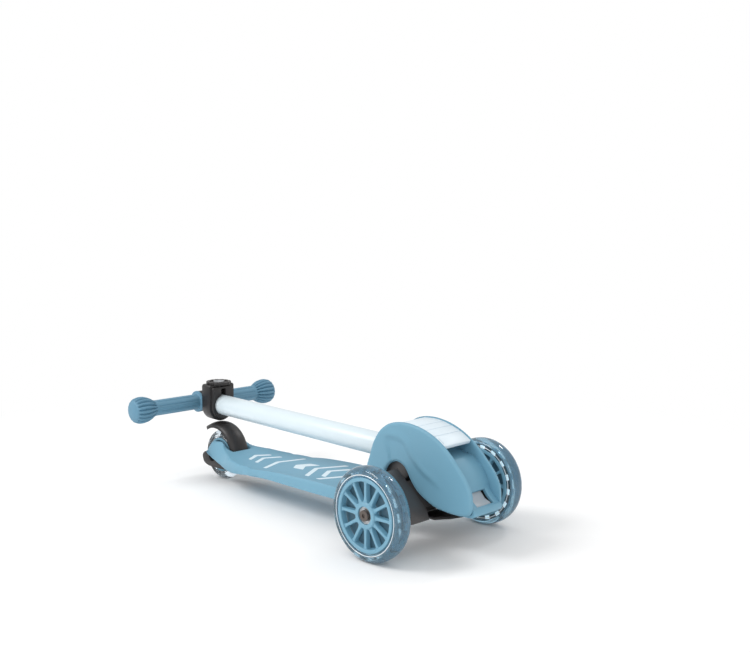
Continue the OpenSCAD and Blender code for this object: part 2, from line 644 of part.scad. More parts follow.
// The cover below also has a wall on each side of the window, so that the window's inside is black
belly_low = [[-1, -23], [12, -23], [23, -23], [50, -16], [80, -5.6]];
window_wall = [[55, -13.5], [63.3, -9], [63.3, -2.2], [80, -1.9], [87, -1.1], [89.8, 0.9], [90, 2.9],
    [87, 4.4], [79.4, 10.2], [72, 18.4], [69.2, 27], [66, 27], [63, 16], [55, 4]];
window_wall_t = 1.5;
module belly_cover() color(black) front() {
    side(concat(belly_low, [[64, -5.6], [48, -16 + belly_t], [22, -23 + belly_t], [-1, -23 + belly_t]]),
        -cheek_in + 2, cheek_in - 2);
    both_sides() side(window_wall, window_half + 0.6, window_half + 0.6 + window_wall_t);
}

// Truck: boss on the steering bolt, a neck through the cheeks' arches and a shoulder to each wheel
shoulder_in = cheek_out + 1;
shoulder_side = [[-30, 37], [-25, 33], [-17.4, 22], [-5.4, 7.5], [5, 1.8], [14.6, -4.4], [21.5, -7],
    [26, -19], [10, -20.5], [-28, -22], [-40, -15], [-47, -2], [-43, 15], [-36, 29]];
module truck_beam() color(black) difference() {
    union() {
        steering() translate([0, 0, -boss_half]) cylinder(r = boss_r, h = 2 * boss_half);
        steering() translate([-24, -shoulder_in - 4, -boss_half])
            cube([41, 2 * (shoulder_in + 4), boss_half + 2.5]);
        both_sides() front() hull() {
            side(shoulder_side, shoulder_in, shoulder_in + 30);
            rod_y(truck_end - 12, truck_end - 7, 20, $fn = 32);
        }
        both_sides() front() rod_y(truck_end - 30, truck_end, 15);
    }
    steering() translate([0, 0, -boss_half - 1]) cylinder(r = bush_r + fit, h = 2 * boss_half + 2);
    front() both_sides() rod_y(axle_in - 1, truck_end + 1, axle_r + fit);
}
module steer_bush() color(pale_grey) steering() difference() {
    translate([0, 0, -boss_half]) cylinder(r = bush_r, h = 2 * boss_half);
    translate([0, 0, -boss_half - 1]) cylinder(r = steer_bolt_r + fit, h = 2 * boss_half + 2);
}

// Stem: knuckle on the fold pin, outer tube and clamp. d is the distance from the fold pin.
tube_start = 25;
clamp_end = bar_d - 25;
clamp_start = clamp_end - clamp_l;
spigot_l = 45;
drum_notch = 50;
unfold_a = 77;
module stem_knuckle() color(black) stem() difference() {
    union() {
        difference() {
            rod_y(-drum_half, drum_half, drum_r);
            rod_d(tube_start, tube_start + 30, tube_r + fit);
        }
        rod_d(10, tube_start + spigot_l, tube_r - tube_wall - fit);
    }
    rod_y(-drum_half - 1, drum_half + 1, fold_pin_r + fit);
    for (a = [drum_notch + stem_tilt, drum_notch + stem_tilt + unfold_a])
        rotate([0, -a, 0]) translate([drum_r - 3, -drum_half - 1, -3.2]) cube([10, 2 * drum_half + 2, 6.4]);
}
module stem_tube() color(white) stem() difference() {
    rod_d(tube_start, clamp_end - 2, tube_r);
    rod_d(tube_start - 1, clamp_end, tube_r - tube_wall);
    at_knob(0) cylinder(r = lock_bolt_r + 0.5, h = tube_r + 1);
}
module guide_bush() color(pale_grey) stem() difference() {
    union() {
        rod_d(clamp_end - 40, clamp_end - 2, tube_r - tube_wall - fit);
        rod_d(clamp_end - 2, clamp_end - 0.5, tube_r);
    }
    rod_d(clamp_end - 41, clamp_end + 1, inner_r + fit);
    at_knob(0) cylinder(r = lock_bolt_r + 0.5, h = tube_r + 1);
}

// Clamp: a collar whose bolt, turned by a knob, presses on the inner tube through a hole in the outer one
clamp_step = 5;
clamp_small = 3.5;
clamp_corner = 4;
clamp_drop = 2.5;
clamp_slot = 4.3;
clamp_roof = 3;
clamp_mid = clamp_end - clamp_l / 2;
lock_bolt_r = 2.5;
lock_nut_h = 4;
lock_nut_r = 4.7;
module clamp_section(inset) {
    half = clamp_half - inset;
    translate([0, -clamp_drop]) circle(r = half);
    translate([-half, -clamp_drop]) square([2 * half, clamp_top + clamp_drop - inset - clamp_corner]);
    translate([clamp_corner - half, 0]) square([2 * (half - clamp_corner), clamp_top - inset]);
    for (y = [clamp_corner - half, half - clamp_corner])
        translate([y, clamp_top - inset - clamp_corner]) circle(r = clamp_corner);
}
module clamp_block(d0, d1, inset)
    translate([-d1, 0, 0]) rotate([90, 0, 90]) linear_extrude(d1 - d0) clamp_section(inset);
module at_knob(z) translate([-clamp_mid, 0, z]) children();
module tube_clamp() color(black) stem() difference() {
    union() {
        clamp_block(clamp_start, clamp_end, clamp_small);
        clamp_block(clamp_start + clamp_step, clamp_end, 0);
    }
    rod_d(clamp_start - 1, clamp_end + 1, tube_r + fit);
    translate([-clamp_end - 1, -clamp_slot, 0])
        cube([clamp_l + 2, 2 * clamp_slot, clamp_top - clamp_small - clamp_roof]);
    at_knob(0) cylinder(r = lock_bolt_r + fit, h = clamp_top + 1);
}
lock_nut_z = clamp_top - clamp_small - clamp_roof - lock_nut_h;
module clamp_nut() color(steel) stem() at_knob(lock_nut_z) difference() {
    cylinder(r = lock_nut_r, h = lock_nut_h, $fn = 6);
    translate([0, 0, -1]) cylinder(r = lock_bolt_r + fit, h = lock_nut_h + 2);
}
module lock_knob() color(black) stem() at_knob(clamp_top + gap) difference() {
    cylinder(r = knob_wheel_r, h = knob_wheel_h);
    translate([0, 0, knob_wheel_h / 2]) cylinder(r = knob_wheel_r - 5, h = knob_wheel_h);
    translate([0, 0, -1]) cylinder(r = lock_bolt_r + fit, h = knob_wheel_h + 2);
    for (i = [0 : knob_notches - 1]) rotate([0, 0, (i + 0.5) * 360 / knob_notches])
        translate([knob_wheel_r + 0.8, 0, -1]) cylinder(r = 2.2, h = knob_wheel_h + 2);
}
module knob_bolt() color(steel) stem() at_knob(inner_r + gap) {
    cylinder(r = lock_bolt_r, h = clamp_top + knob_wheel_h / 2 - inner_r + 0.1);
    translate([0, 0, clamp_top + knob_wheel_h / 2 - inner_r]) difference() {
        cylinder(r = 9, h = 2.4);
        translate([0, 0, 1]) cylinder(r = 5.5, h = 3);
        translate([0, 0, -1]) cylinder(r = 2.4, h = 5, $fn = 6);
    }
}

// Handlebar, which slides in the stem as one body
inner_end = bar_d - 12;
inner_start = inner_end - inner_l;
shoe_l = 25;
head_r = 17;
head_half = 13.3;
neck_r = 15.5;
screw_spread = 7;
module inner_tube() color(steel) stem() difference() {
    rod_d(inner_start, inner_end, inner_r);
    rod_d(inner_start - 1, inner_end + 1, inner_r - inner_wall);
}
module slide_shoe() color(pale_grey) stem() {
    difference() {
        rod_d(inner_start - 4, inner_start + shoe_l, tube_r - tube_wall - 0.1);
        rod_d(inner_start, inner_start + shoe_l + 1, inner_r + fit);
    }
}
module bar_head() color(black) stem() difference() {
    union() {
        translate([-bar_d, 0, 0]) rod_y(-head_half, head_half, head_r);
        intersection() {
            rod_d(clamp_end + gap, bar_d, neck_r);
            translate([-bar_d, -head_half, -neck_r]) cube([bar_d, 2 * head_half, 2 * neck_r]);
        }
    }
    translate([-bar_d, 0, 0]) rod_y(-head_half - 1, head_half + 1, bar_r + fit);
    rod_d(clamp_end - 1, bar_d, inner_r + fit);
    for (y = [-screw_spread, screw_spread]) translate([-bar_d - head_r - 1, y, 0]) rotate([0, 90, 0])
        cylinder(r = 2 + fit, h = 12);
}
module bar_screws() color(steel) stem() for (y = [-screw_spread, screw_spread])
    translate([-bar_d - head_r + 0.4, y, 0]) rotate([0, 90, 0]) cylinder(r = 2, h = head_r - bar_r + 1);
module crossbar() color(steel) stem() translate([-bar_d, 0, 0]) difference() {
    rod_y(-bar_half + 5.5, bar_half - 5.5, bar_r);
    rod_y(-bar_half, bar_half, bar_r - 1.5);
    for (y = [-screw_spread, screw_spread]) translate([-head_r - 1, y, 0]) rotate([0, 90, 0])
        cylinder(r = 2 + fit, h = 12);
}

// Grip: flange, round body and a fluted knob
flange_r = grip_r + 4.8;
flange_l = 3.5;
knob_l = 39;
knob_neck = bar_half - knob_l;
// The knob's swell: share of its length, share of its rise over the grip
knob_shape = [[0, 0], [0.22, 0.58], [0.42, 0.92], [0.6, 1], [0.76, 0.93], [0.9, 0.56]];
module grip() difference() {
    turned(concat([[0, bar_half], [0, head_half + gap], [flange_r - 0.8, head_half + gap],
        [flange_r, head_half + gap + 1], [flange_r, head_half + flange_l]],
        spline(concat([[grip_r, head_half + flange_l + 3], [grip_r, knob_neck - 10]],
            [for (p = knob_shape) [grip_r + (knob_r - grip_r) * p[1], knob_neck + knob_l * p[0]]],
            [[knob_r / 2, bar_half - 0.6], [0, bar_half]]))));
    rod_y(0, bar_half - 5, bar_r + fit);
    for (i = [0 : flutes - 1])
        rotate([0, i * 360 / flutes, 0]) translate([knob_r + 0.6, knob_neck + 2, 0])
            rotate([0, 45, 0]) translate([-1.6, 0, -1.6]) cube([3.2, knob_l - 11, 3.2]);
}
module grip_right() color(blue) stem() translate([-bar_d, 0, 0]) mirror([0, 1, 0]) grip();
module grip_left() color(blue) stem() translate([-bar_d, 0, 0]) grip();

// Release lever over the channel: pressing its front end lifts the pawl behind its pin
lever_top = [[-35, 96], [-19.5, 97.2], [-5, 96.3], [8, 93.6], [20, 90], [33, 84.6], [45, 77.5]];
grooves = [-2, 12, 27];
lever_slot = [31, 10, 1.4];
module release_lever() color(white) front() difference() {
    union() {
        side(concat(spline(lever_top),
            [for (i = [len(lever_top) - 1 : -1 : 0]) lever_top[i] - [0.3 * i, lever_t]]),
            -lever_half, lever_half);
        both_sides() at_xz(lever_at) rod_y(12, 18, 5);
        both_sides() side([[lever_at[0] - 5, lever_at[1]], [lever_at[0] + 5, lever_at[1]],
            [lever_at[0] + 6, lever_at[1] + 7], [lever_at[0] - 6, lever_at[1] + 8.5]], 12, 18);
    }
    at_xz(lever_at) rod_y(-lever_half - 1, lever_half + 1, lever_pin_r + fit);
    for (x = grooves) translate([x - 0.5, -lever_half - 1, lookup(x, lever_top) - 0.6])
        cube([1, 2 * lever_half + 2, 3]);
    translate([lever_slot[0], -lever_half + 2.5, lever_at[1] - 20]) cube([lever_slot[1], lever_slot[2], 40]);
}
pawl_tip = pivot + (drum_r + gap) * [cos(drum_notch), sin(drum_notch)];
pawl_top = 96.55 - lever_t - pawl_tip[1];
pawl_side = [[-2.4, 1.9], [1.9, -1], [4, 3], [3.5, pawl_top + 0.45], [-2.5, pawl_top]];
module lock_pawl() color(steel) front() side(moved(pawl_side, pawl_tip), -9, 9);
module lever_pin() color(steel) front() at_xz(lever_at) rod_y(-cheek_in - 2.8, cheek_in + 2.8, lever_pin_r);

// Safety catch: a paddle in the nose window, hinged at its top
catch_side = [[catch_at[0] + 3, catch_at[1] + 2], [71, 19], [79, 10.5], [87.5, 7.3], [88.4, 5.8],
    [85, 3.4], [77, 6.5], [68, 15], [catch_at[0] - 3, catch_at[1] - 2]];
module safety_catch() color(pale_grey) front() difference() {
    union() {
        side(catch_side, -catch_half, catch_half);
        at_xz(catch_at) rod_y(-catch_half, catch_half, catch_pin_r + 2.6);
    }
    at_xz(catch_at) rod_y(-catch_half - 1, catch_half + 1, catch_pin_r + fit);
    at_xz(catch_at) rod_y(-4, 4, catch_pin_r + 3);
}
module catch_pin() color(steel) front() at_xz(catch_at) rod_y(-cheek_in - 2.8, cheek_in + 2.8, catch_pin_r);
module latch_springs() color(steel) front() {
    at_xz(lever_at) ring_y(-7, 7, lever_pin_r + 0.2, lever_pin_r + 1.6);
    at_xz(catch_at) ring_y(-3.5, 3.5, catch_pin_r + 0.2, catch_pin_r + 1.4);
}

deck_board();
rear_bracket();
rear_axle();
rear_magnet();
brake_pin();
brake_spring();
chassis_frame();
housing_right();
housing_left();
nose_channel();
belly_cover();
fold_pin();
fold_bumper();
housing_screws();
deck_screws();
steer_bolt();
steer_nut();
steer_pads();
lever_pin();
catch_pin();
latch_springs();
truck_beam();
steer_bush();
front_axle_bolts();
axle_spacers();
front_magnets();
wheel_core_right();
tyre_right();
lamp_ring_right();
lamps_right();
bearings_right();
wheel_core_left();
tyre_left();
lamp_ring_left();
lamps_left();
bearings_left();
rear_core();
rear_tyre();
rear_lamp_ring();
rear_lamps();
rear_bearings();
brake_fender();
brake_pad();
stem_knuckle();
stem_tube();
tube_clamp();
clamp_nut();
guide_bush();
lock_knob();
knob_bolt();
inner_tube();
slide_shoe();
bar_head();
bar_screws();
crossbar();
grip_right();
grip_left();
release_lever();
lock_pawl();
safety_catch();
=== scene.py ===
import json
import math
import bpy
import bmesh
import numpy as np
from mathutils import Matrix, Vector


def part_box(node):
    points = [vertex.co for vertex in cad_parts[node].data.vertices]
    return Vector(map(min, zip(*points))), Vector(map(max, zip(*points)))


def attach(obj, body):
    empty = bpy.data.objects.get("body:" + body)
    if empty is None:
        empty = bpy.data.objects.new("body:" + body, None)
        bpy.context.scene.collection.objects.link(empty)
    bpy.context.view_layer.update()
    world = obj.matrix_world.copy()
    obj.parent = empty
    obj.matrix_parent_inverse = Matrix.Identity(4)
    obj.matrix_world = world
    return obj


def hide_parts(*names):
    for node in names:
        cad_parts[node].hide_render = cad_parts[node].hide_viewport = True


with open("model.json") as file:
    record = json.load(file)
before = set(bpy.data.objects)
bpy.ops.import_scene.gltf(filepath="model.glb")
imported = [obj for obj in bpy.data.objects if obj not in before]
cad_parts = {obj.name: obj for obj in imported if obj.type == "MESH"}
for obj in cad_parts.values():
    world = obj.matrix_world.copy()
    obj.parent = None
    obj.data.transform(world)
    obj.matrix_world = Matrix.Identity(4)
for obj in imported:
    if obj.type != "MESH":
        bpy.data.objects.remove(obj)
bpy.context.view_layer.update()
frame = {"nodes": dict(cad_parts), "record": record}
print("frame loaded")

# Lengths are in millimetres, counted from the front axle or the rear axle as in the part's source
mm = 0.001
rearLow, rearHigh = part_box("rear_tyre")
frontLow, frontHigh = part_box("tyre_right")
rearAxle = Vector(((rearLow[0] + rearHigh[0]) / 2, 0.0, (rearLow[2] + rearHigh[2]) / 2)) / mm
frontAxle = Vector(((frontLow[0] + frontHigh[0]) / 2, 0.0, (frontLow[2] + frontHigh[2]) / 2)) / mm
halfTrack = -(frontLow[1] + frontHigh[1]) / 2 / mm
bodyOf = {node: body for body, nodes in frame["record"]["behaviour"]["bodies"].items() for node in nodes}


def srgb(code):
    parts = [int(code[i:i + 2], 16) / 255 for i in (1, 3, 5)]
    return [c / 12.92 if c <= 0.04045 else ((c + 0.055) / 1.055) ** 2.4 for c in parts] + [1.0]


# Adds one shader node with its settings; an input takes a value or another node's output
def addNode(mat, kind, settings=None, inputs=None):
    node = mat.node_tree.nodes.new(kind)
    for key, value in (settings or {}).items():
        setattr(node, key, value)
    for key, value in (inputs or {}).items():
        if isinstance(value, bpy.types.NodeSocket):
            mat.node_tree.links.new(value, node.inputs[key])
        else:
            node.inputs[key].default_value = value
    return node


def newMaterial(name):
    mat = bpy.data.materials.new(name)
    mat.use_nodes = True
    mat.node_tree.nodes.clear()
    return mat


# Skin of every solid material: its patches of tone and gloss, and the height of its grain
skin = {"patch": 22.0, "glossSwing": 0.05, "grainHeight": 0.02, "coatRoughness": 0.1}


# A moulded or sprayed surface: fine grain, and tone and gloss that wander a little from place to place
def surface(name, colour, roughness, metallic=0.0, ior=1.5, grain=0.3, grainSize=0.8, coat=0.0, tone=0.02):
    mat = newMaterial(name)
    coords = addNode(mat, "ShaderNodeTexCoord")
    patches = addNode(mat, "ShaderNodeTexNoise", {}, {
        "Vector": coords.outputs["Object"], "Scale": 1 / (skin["patch"] * mm), "Detail": 3.0})
    gloss = addNode(mat, "ShaderNodeMapRange", {}, {
        "Value": patches.outputs["Fac"], "To Min": roughness - skin["glossSwing"],
        "To Max": roughness + skin["glossSwing"]})
    shade = addNode(mat, "ShaderNodeMapRange", {}, {"Value": patches.outputs["Fac"], "To Min": 1 - tone,
                    "To Max": 1 + tone})
    dye = addNode(mat, "ShaderNodeHueSaturation", {}, {"Color": srgb(colour), "Value": shade.outputs["Result"]})
    noise = addNode(mat, "ShaderNodeTexNoise", {}, {"Vector": coords.outputs["Object"], "Scale": 1 / (grainSize * mm),
                    "Detail": 2.0})
    bump = addNode(mat, "ShaderNodeBump", {}, {"Strength": grain, "Distance": skin["grainHeight"] * mm,
                   "Height": noise.outputs["Fac"]})
    principled = addNode(mat, "ShaderNodeBsdfPrincipled", {}, {
        "Base Color": dye.outputs["Color"], "Roughness": gloss.outputs["Result"], "Metallic": metallic, "IOR": ior,
        "Coat Weight": coat, "Coat Roughness": skin["coatRoughness"], "Normal": bump.outputs["Normal"]})
    addNode(mat, "ShaderNodeOutputMaterial", {}, {"Surface": principled.outputs["BSDF"]})
    return mat


# Flow marks in the skin of the clear casts
cast = {"ior": 1.5, "flow": 14.0, "ripple": 0.1, "rippleStrength": 0.15}


# Clear cast polyurethane: bends light, and tints it the more the farther it goes through. A clouded cast is partly
# solid to light, in the cloud's colour.
def clearCast(name, colour, density, roughness, clear, cloud):
    mat = newMaterial(name)
    coords = addNode(mat, "ShaderNodeTexCoord")
    flow = addNode(mat, "ShaderNodeTexNoise", {}, {"Vector": coords.outputs["Object"],
                   "Scale": 1 / (cast["flow"] * mm)})
    bump = addNode(mat, "ShaderNodeBump", {}, {"Strength": cast["rippleStrength"], "Distance": cast["ripple"] * mm,
                   "Height": flow.outputs["Fac"]})
    principled = addNode(mat, "ShaderNodeBsdfPrincipled", {}, {
        "Base Color": srgb(cloud), "Roughness": roughness, "IOR": cast["ior"], "Transmission Weight": clear,
        "Normal": bump.outputs["Normal"]})
    tint = addNode(mat, "ShaderNodeVolumeAbsorption", {}, {"Color": srgb(colour), "Density": density})
    addNode(mat, "ShaderNodeOutputMaterial", {}, {"Surface": principled.outputs["BSDF"],
            "Volume": tint.outputs["Volume"]})
    return mat


# A moulding with another colour, which may glow, within reach of an upright plane on each side of the scooter. It
# serves for real second colours and for painted shade. The plane's place is its distance from the scooter's middle.
def twoToneOrShade(name, colour, nearColour, reach, glow=0.0, plane=0.0):
    mat = surface(name, colour, 0.4)
    coords = addNode(mat, "ShaderNodeTexCoord")
    parts = addNode(mat, "ShaderNodeSeparateXYZ", {}, {"Vector": coords.outputs["Object"]})
    away = addNode(mat, "ShaderNodeMath", {"operation": "ABSOLUTE"}, {0: parts.outputs["Y"]})
    away = addNode(mat, "ShaderNodeMath", {"operation": "SUBTRACT"}, {0: away.outputs[0], 1: plane * mm})
    away = addNode(mat, "ShaderNodeMath", {"operation": "ABSOLUTE"}, {0: away.outputs[0]})
    near = addNode(mat, "ShaderNodeMath", {"operation": "LESS_THAN"}, {0: away.outputs[0], 1: reach * mm})
    principled = next(n for n in mat.node_tree.nodes if n.bl_idname == "ShaderNodeBsdfPrincipled")
    dye = principled.inputs["Base Color"].links[0].from_node
    mix = addNode(mat, "ShaderNodeMixRGB", {}, {"Fac": near.outputs[0], "Color1": dye.outputs["Color"],
                  "Color2": srgb(nearColour)})
    mat.node_tree.links.new(mix.outputs["Color"], principled.inputs["Base Color"])
    if glow:
        light = addNode(mat, "ShaderNodeMath", {"operation": "MULTIPLY"}, {0: near.outputs[0], 1: glow})
        principled.inputs["Emission Color"].default_value = srgb(nearColour)
        mat.node_tree.links.new(light.outputs[0], principled.inputs["Emission Strength"])
    return mat


# Nylon housings, deck and wheel cores, dyed through, which gives a satin skin of even colour
bluePlastic = surface("blue moulded nylon", "#72A3BA", 0.5, ior=1.46)
# Glass-filled nylon of the truck and frame, a warm dark grey with a slightly rough skin
greyPlastic = surface("charcoal glass filled nylon", "#4B4949", 0.5, grain=0.5)
# The clamp and the fender are a deeper black
blackPlastic = surface("black glass filled nylon", "#232020", 0.42, grain=0.5)
# Powder coat on the steel tube, with its faint orange peel
whitePaint = surface("white powder coat", "#D9E6EC", 0.35, grain=0.4, grainSize=3.0, coat=0.2)
whitePlastic = surface("white moulded ABS", "#DDEAF2", 0.4)
zincSteel = surface("zinc plated steel", "#B4B7BA", 0.32, metallic=1.0)
darkSteel = surface("phosphated steel", "#6A625E", 0.4, metallic=0.9)
anodised = surface("satin anodised aluminium", "#B9BCC0", 0.35, metallic=1.0)
palePlastic = surface("light grey ABS", "#B6BEC5", 0.4, ior=1.54)
blueRubber = surface("blue thermoplastic rubber", "#5F8DA6", 0.55, grain=0.6)
blackRubber = surface("black rubber", "#202021", 0.7, grain=0.6)
greyRubber = surface("grey rubber", "#5C6C74", 0.65, grain=0.6)
whiteInk = surface("white printed ink", "#DCEAF1", 0.45, grain=0.2)
clearTyre = clearCast("clear polyurethane", "#8FBCD2", 15.0, 0.05, clear=0.86, cloud="#A9D0E1")
smokeTyre = clearCast("smoke clear polyurethane", "#A2ABB1", 18.0, 0.1, clear=0.94, cloud="#848F96")
# Polished bead beside the rim; its near white colour is a painted highlight, the bright line of light along it
beadPaintedHighlight = surface("polished bead with painted highlight", "#EEF6FA", 0.15, grain=0.0, coat=0.5)
# In the front wheels the lamps' board and their caps face the scooter's middle
boardFace = halfTrack - 9.2
ringSkin = twoToneOrShade("blue nylon with circuit board", "#72A3BA", "#202A31", boardFace)
lampSkin = twoToneOrShade("lamp cap in blue nylon", "#72A3BA", "#FAFCFE", boardFace, glow=0.9)
# Painted shade: the web between the spokes is coloured a darker blue for the shade that falls there
paintedShadeReach = 3.4
coreWithPaintedShade = twoToneOrShade("blue nylon with painted shade between the spokes", "#72A3BA", "#4C6C7C", paintedShadeReach, plane=halfTrack)
# The rear wheel's lamps are white all over
lampPlastic = twoToneOrShade("white lamp cap", "#FAFCFE", "#FAFCFE", halfTrack, glow=1.8)

looks = {}
for names, look in (
        ("deck_board housing_right housing_left nose_channel rear_core", bluePlastic),
        ("wheel_core_right wheel_core_left", coreWithPaintedShade),
        ("chassis_frame truck_beam stem_knuckle rear_lamp_ring", greyPlastic),
        ("rear_bracket brake_fender tube_clamp bar_head lock_knob belly_cover", blackPlastic),
        ("stem_tube", whitePaint), ("release_lever", whitePlastic), ("inner_tube crossbar", anodised),
        ("lamp_ring_right lamp_ring_left", ringSkin), ("lamps_right lamps_left", lampSkin),
        ("tyre_right tyre_left", clearTyre), ("rear_tyre", smokeTyre), ("rear_lamps", lampPlastic),
        ("safety_catch steer_bush guide_bush slide_shoe", palePlastic), ("grip_right grip_left", blueRubber),
        ("fold_bumper", blackRubber), ("steer_pads", greyRubber), ("front_axle_bolts", darkSteel)):
    for name in names.split():
        looks[name] = look
for name in frame["nodes"]:
    looks.setdefault(name, zincSteel)
print("materials made")


# Turns a finished mesh, in millimetres, into a piece that stands for the named node and moves with its body
def makePiece(name, bm, node, sharp=35.0, look=None, replace=True):
    bmesh.ops.scale(bm, vec=(mm, mm, mm), verts=bm.verts)
    bmesh.ops.recalc_face_normals(bm, faces=bm.faces)
    for face in bm.faces:
        face.smooth = True
    for edge in bm.edges:
        edge.smooth = len(edge.link_faces) == 2 and edge.calc_face_angle() < math.radians(sharp)
    mesh = bpy.data.meshes.new(name)
    bm.to_mesh(mesh)
    bm.free()
    obj = bpy.data.objects.new(name, mesh)
    bpy.context.collection.objects.link(obj)
    mesh.materials.append(look or looks[node])
    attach(obj, bodyOf[node])
    if replace:
        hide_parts(node)
    return obj


# Points nearer than weld are one, and faces within the flat angle of each other are one
clean = {"weld": 0.02, "flat": 0.6, "sharp": 30.0}


# A copy of a CAD node with its sharp edges rounded
def rounded(node, width):
    bm = bmesh.new()
    bm.from_mesh(frame["nodes"][node].data)
    bmesh.ops.scale(bm, vec=(1 / mm, 1 / mm, 1 / mm), verts=bm.verts)
    bmesh.ops.remove_doubles(bm, verts=bm.verts, dist=clean["weld"])
    bmesh.ops.dissolve_limit(bm, angle_limit=math.radians(clean["flat"]), verts=bm.verts, edges=bm.edges)
    sharp = [e for e in bm.edges if len(e.link_faces) == 2 and e.calc_face_angle() > math.radians(clean["sharp"])]
    bmesh.ops.bevel(bm, geom=sharp, offset=width, segments=2, profile=0.5, affect="EDGES", clamp_overlap=True,
                    material=-1)
    makePiece(node + "_look", bm, node)


# A smooth curve through the points
def catmull(points, steps=4):
    curve = []
    for i in range(len(points) - 1):
        four = points[max(i - 1, 0)], points[i], points[i + 1], points[min(i + 2, len(points) - 1)]
        for k in range(steps):
            t = k / steps
            curve.append(tuple((2 * b + (c - a) * t + (2 * a - 5 * b + 4 * c - d) * t ** 2
                                + (3 * b - a - 3 * c + d) * t ** 3) / 2 for a, b, c, d in zip(*four)))
    return curve + [tuple(points[-1])]


# The same line with its points at even steps
def evenly(points, step, closed=False):
    pts = np.array(points + [points[0]] if closed else points, float)
    run = np.concatenate([[0.0], np.cumsum(np.hypot(*np.diff(pts, axis=0).T))])
    count = max(2, int(round(run[-1] / step)))
    at = np.linspace(0.0, run[-1], count + 1)
    even = np.stack([np.interp(at, run, pts[:, 0]), np.interp(at, run, pts[:, 1])], axis=1)
    return even[:-1] if closed else even


# Distance of each point to a line of points, with the side it is on and the place along it
def lineDistance(points, line, closed=False):
    line = np.array(line, float)
    a = line if closed else line[:-1]
    b = np.roll(line, -1, axis=0) if closed else line[1:]
    run = np.concatenate([[0.0], np.cumsum(np.hypot(*(b - a).T))])
    best, side, along = np.full(len(points), 1e9), np.zeros(len(points)), np.zeros(len(points))
    for i in range(len(a)):
        step = b[i] - a[i]
        length = max(float(step @ step), 1e-12)
        t = np.clip(((points - a[i]) @ step) / length, 0.0, 1.0)
        gone = points - a[i] - t[:, None] * step
        dist = np.hypot(gone[:, 0], gone[:, 1])
        near = dist < best
        best[near] = dist[near]
        side[near] = np.sign(step[0] * gone[near, 1] - step[1] * gone[near, 0])
        along[near] = run[i] + t[near] * (run[i + 1] - run[i])
    return best, side, along


# Fall of a rounded rim at a distance from the edge
def roundDrop(dist, radius):
    left = np.clip(radius - dist, 0.0, None)
    return radius - np.sqrt(np.clip(radius ** 2 - left ** 2, 0.0, None))


def smoothStep(x):
    x = np.clip(x, 0.0, 1.0)
    return x * x * (3 - 2 * x)


# Cuts the marked faces along planes square to one axis
def gridCuts(bm, mark, places, axis):
    normal = (1, 0, 0) if axis == 0 else (0, 1, 0)
    for place in places:
        faces = [f for f in bm.faces if f[mark]
                 and min(v.co[axis] for v in f.verts) < place < max(v.co[axis] for v in f.verts)]
        geom = list({v for f in faces for v in f.verts}) + list({e for f in faces for e in f.edges}) + faces
        bmesh.ops.bisect_plane(bm, geom=geom, dist=1e-4, plane_co=Vector(normal) * place, plane_no=normal)


# A plate cut from its outline, with rows that follow the rim, a grid inside, and a shaped front and back. The grid is
# twice as fine where fine says so.
def shapedPlate(outline, rims, cutsX, cutsY, faceAt, backAt, put, fine=None):
    bm = bmesh.new()
    mark = bm.faces.layers.int.new("inside")
    sheet = bm.faces.new([bm.verts.new((x, y, 0.0)) for x, y in outline])
    bm.normal_update()
    before = 0.0
    for rim in rims:
        bmesh.ops.inset_region(bm, faces=[sheet], thickness=rim - before, use_even_offset=True)
        before = rim
    sheet[mark] = 1
    gridCuts(bm, mark, cutsX, 0)
    gridCuts(bm, mark, cutsY, 1)
    if fine:
        edges = [e for e in bm.edges if all(fine(v.co.x) for v in e.verts)]
        bmesh.ops.subdivide_edges(bm, edges=edges, cuts=1, use_grid_fill=True)
    bmesh.ops.triangulate(bm, faces=[f for f in bm.faces if len(f.verts) > 4])
    made = bmesh.ops.extrude_face_region(bm, geom=bm.faces[:], use_keep_orig=True)["geom"]
    front = [v for v in made if isinstance(v, bmesh.types.BMVert)]
    back = list(set(bm.verts) - set(front))
    for verts, height in ((front, faceAt), (back, backAt)):
        flat = np.array([(v.co.x, v.co.y) for v in verts])
        dist = lineDistance(flat, outline, True)[0]
        for vert, spot, h in zip(verts, flat, height(flat, dist)):
            vert.co = put(spot[0], spot[1], h)
    return bm


# Spins an outline of radius and place along the axle round the y axis
def spun(bm, outline, centre, steps=128, closed=True):
    ring = [bm.verts.new(centre + Vector((0, s, r))) for r, s in outline]
    pairs = zip(ring, ring[1:] + ring[:1]) if closed else zip(ring, ring[1:])
    edges = [bm.edges.new(pair) for pair in pairs]
    bmesh.ops.spin(bm, geom=ring + edges, cent=centre, axis=(0, 1, 0), angle=2 * math.pi, steps=steps, use_merge=True)


# Cheeks of the housing: a soft ridge runs down each, and the face falls away behind it and in front of it
cheek = {"inner": 26.5, "outer": 31.0, "rim": 3.2, "backRim": 0.8, "behind": 2.3, "behindWidth": 9.0,
         "before": 0.9, "beforeWidth": 9.0, "creaseStep": 1.5, "fadeIn": 18.0, "fadeOut": 45.0,
         "behindFrom": 0.3, "behindPower": 0.8, "rows": (0.35, 0.9, 1.6, 2.5, 3.4), "grid": 2.0,
         "spanX": (-94, 93), "spanZ": (-5, 98), "ringStep": 1.6, "bossFrom": 22.0, "bossIn": 1.0}
